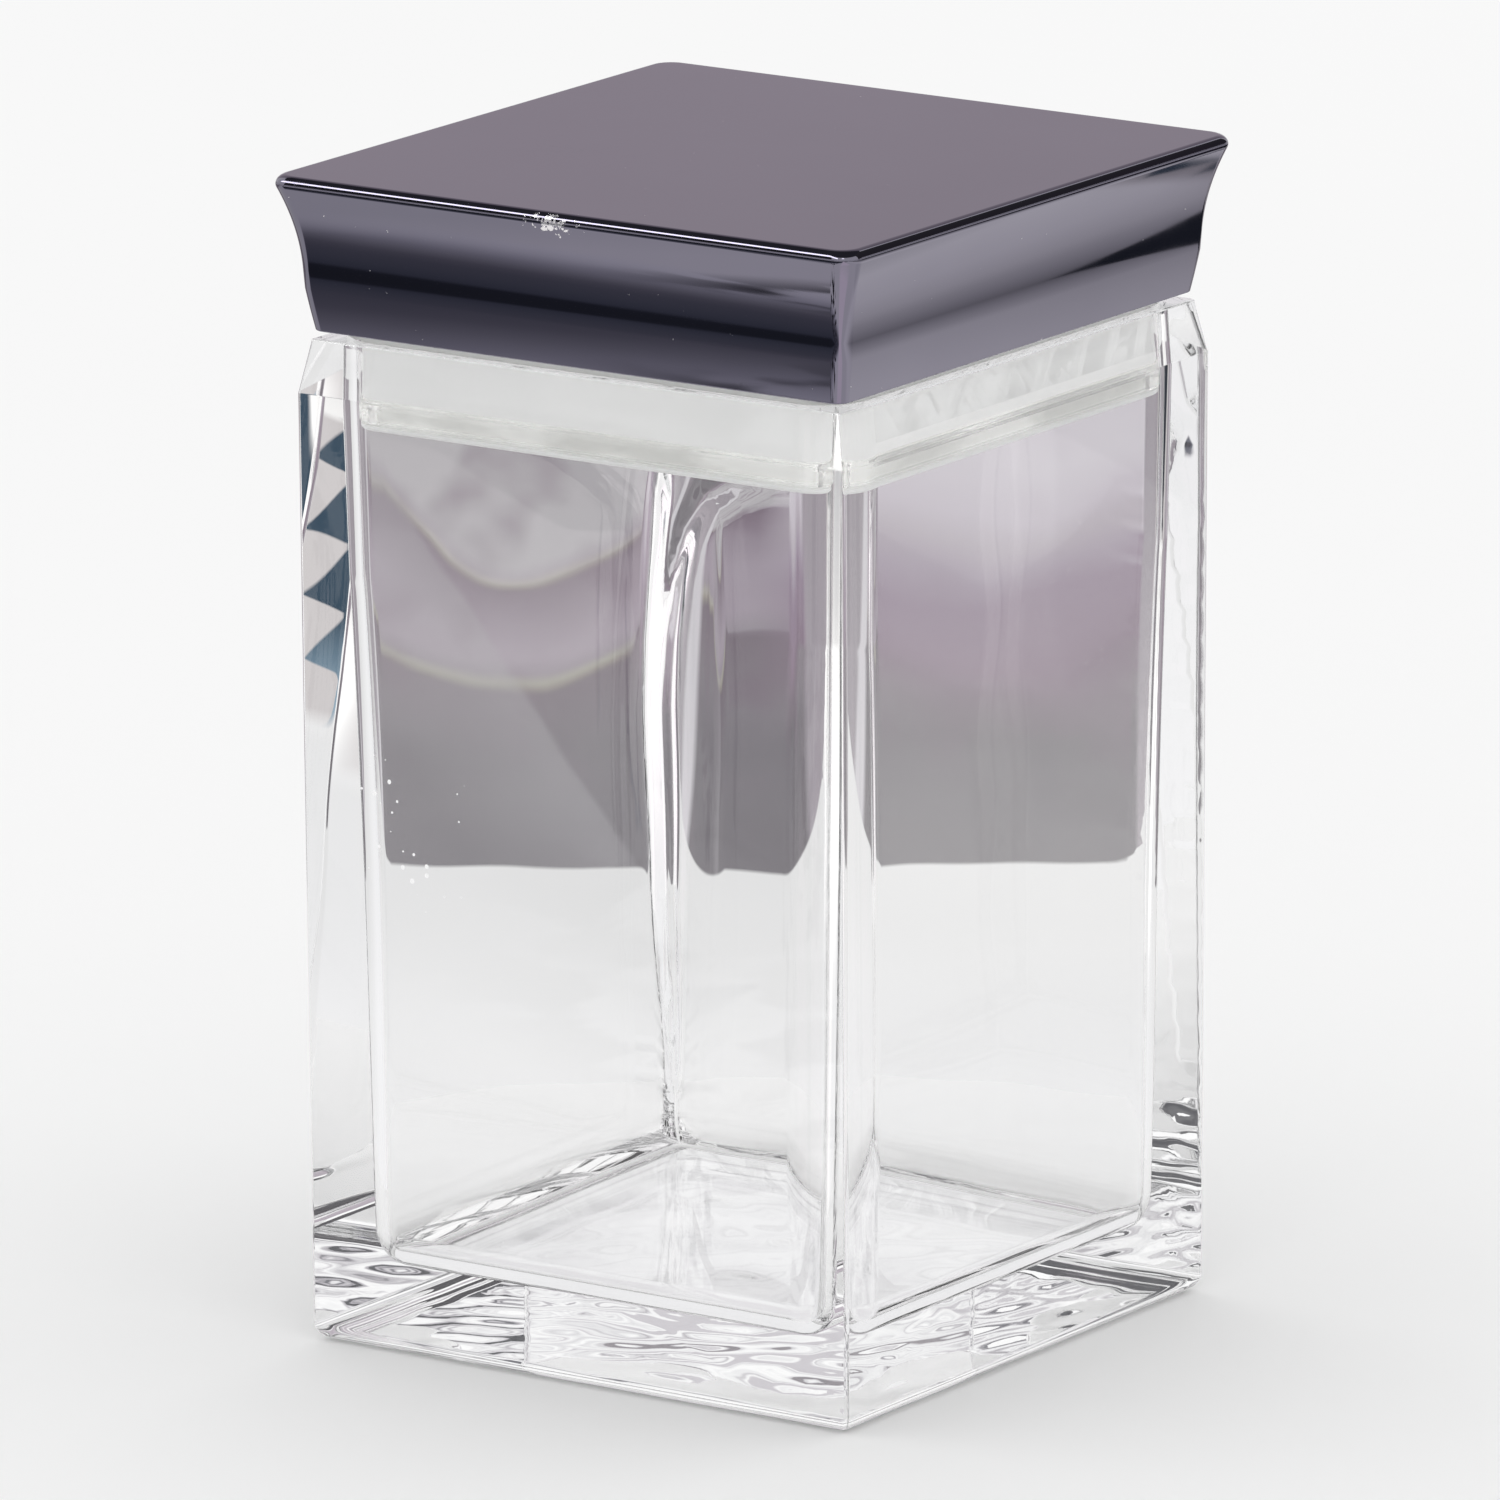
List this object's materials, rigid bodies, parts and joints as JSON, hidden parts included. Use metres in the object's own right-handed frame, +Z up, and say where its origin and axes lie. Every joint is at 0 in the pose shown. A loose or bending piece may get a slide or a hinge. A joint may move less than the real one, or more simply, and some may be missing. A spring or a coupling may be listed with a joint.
{
  "type": "specimen jar",
  "caption": "Square, thick-walled clear jar with a flared mirror-dark lid that lifts straight off; a pale plug with a soft clear seal ring drops into the mouth.",
  "frame": {"origin": "centre of the jar's flat underside", "axes": "+Z up the jar's centre line, which is also the line the lid travels on; the four walls face +X, -X, +Y and -Y"},
  "size_m": [0.0954, 0.0954, 0.1644],
  "materials": {
    "clear_acrylic": "polished",
    "black_chrome": "polished",
    "frosted_polyethylene": "satin",
    "clear_silicone": "satin"
  },
  "bodies": {
    "jar": {"jar_body": "clear_acrylic"},
    "lid": {"lid_cover": "black_chrome", "lid_plug": "frosted_polyethylene", "seal_ring": "clear_silicone"}
  },
  "joints": [
    {"name": "lid_lift", "type": "slide", "parent": "jar", "child": "lid", "axis": [0, 0, 1], "range_m": [0, 0.05]}
  ]
}
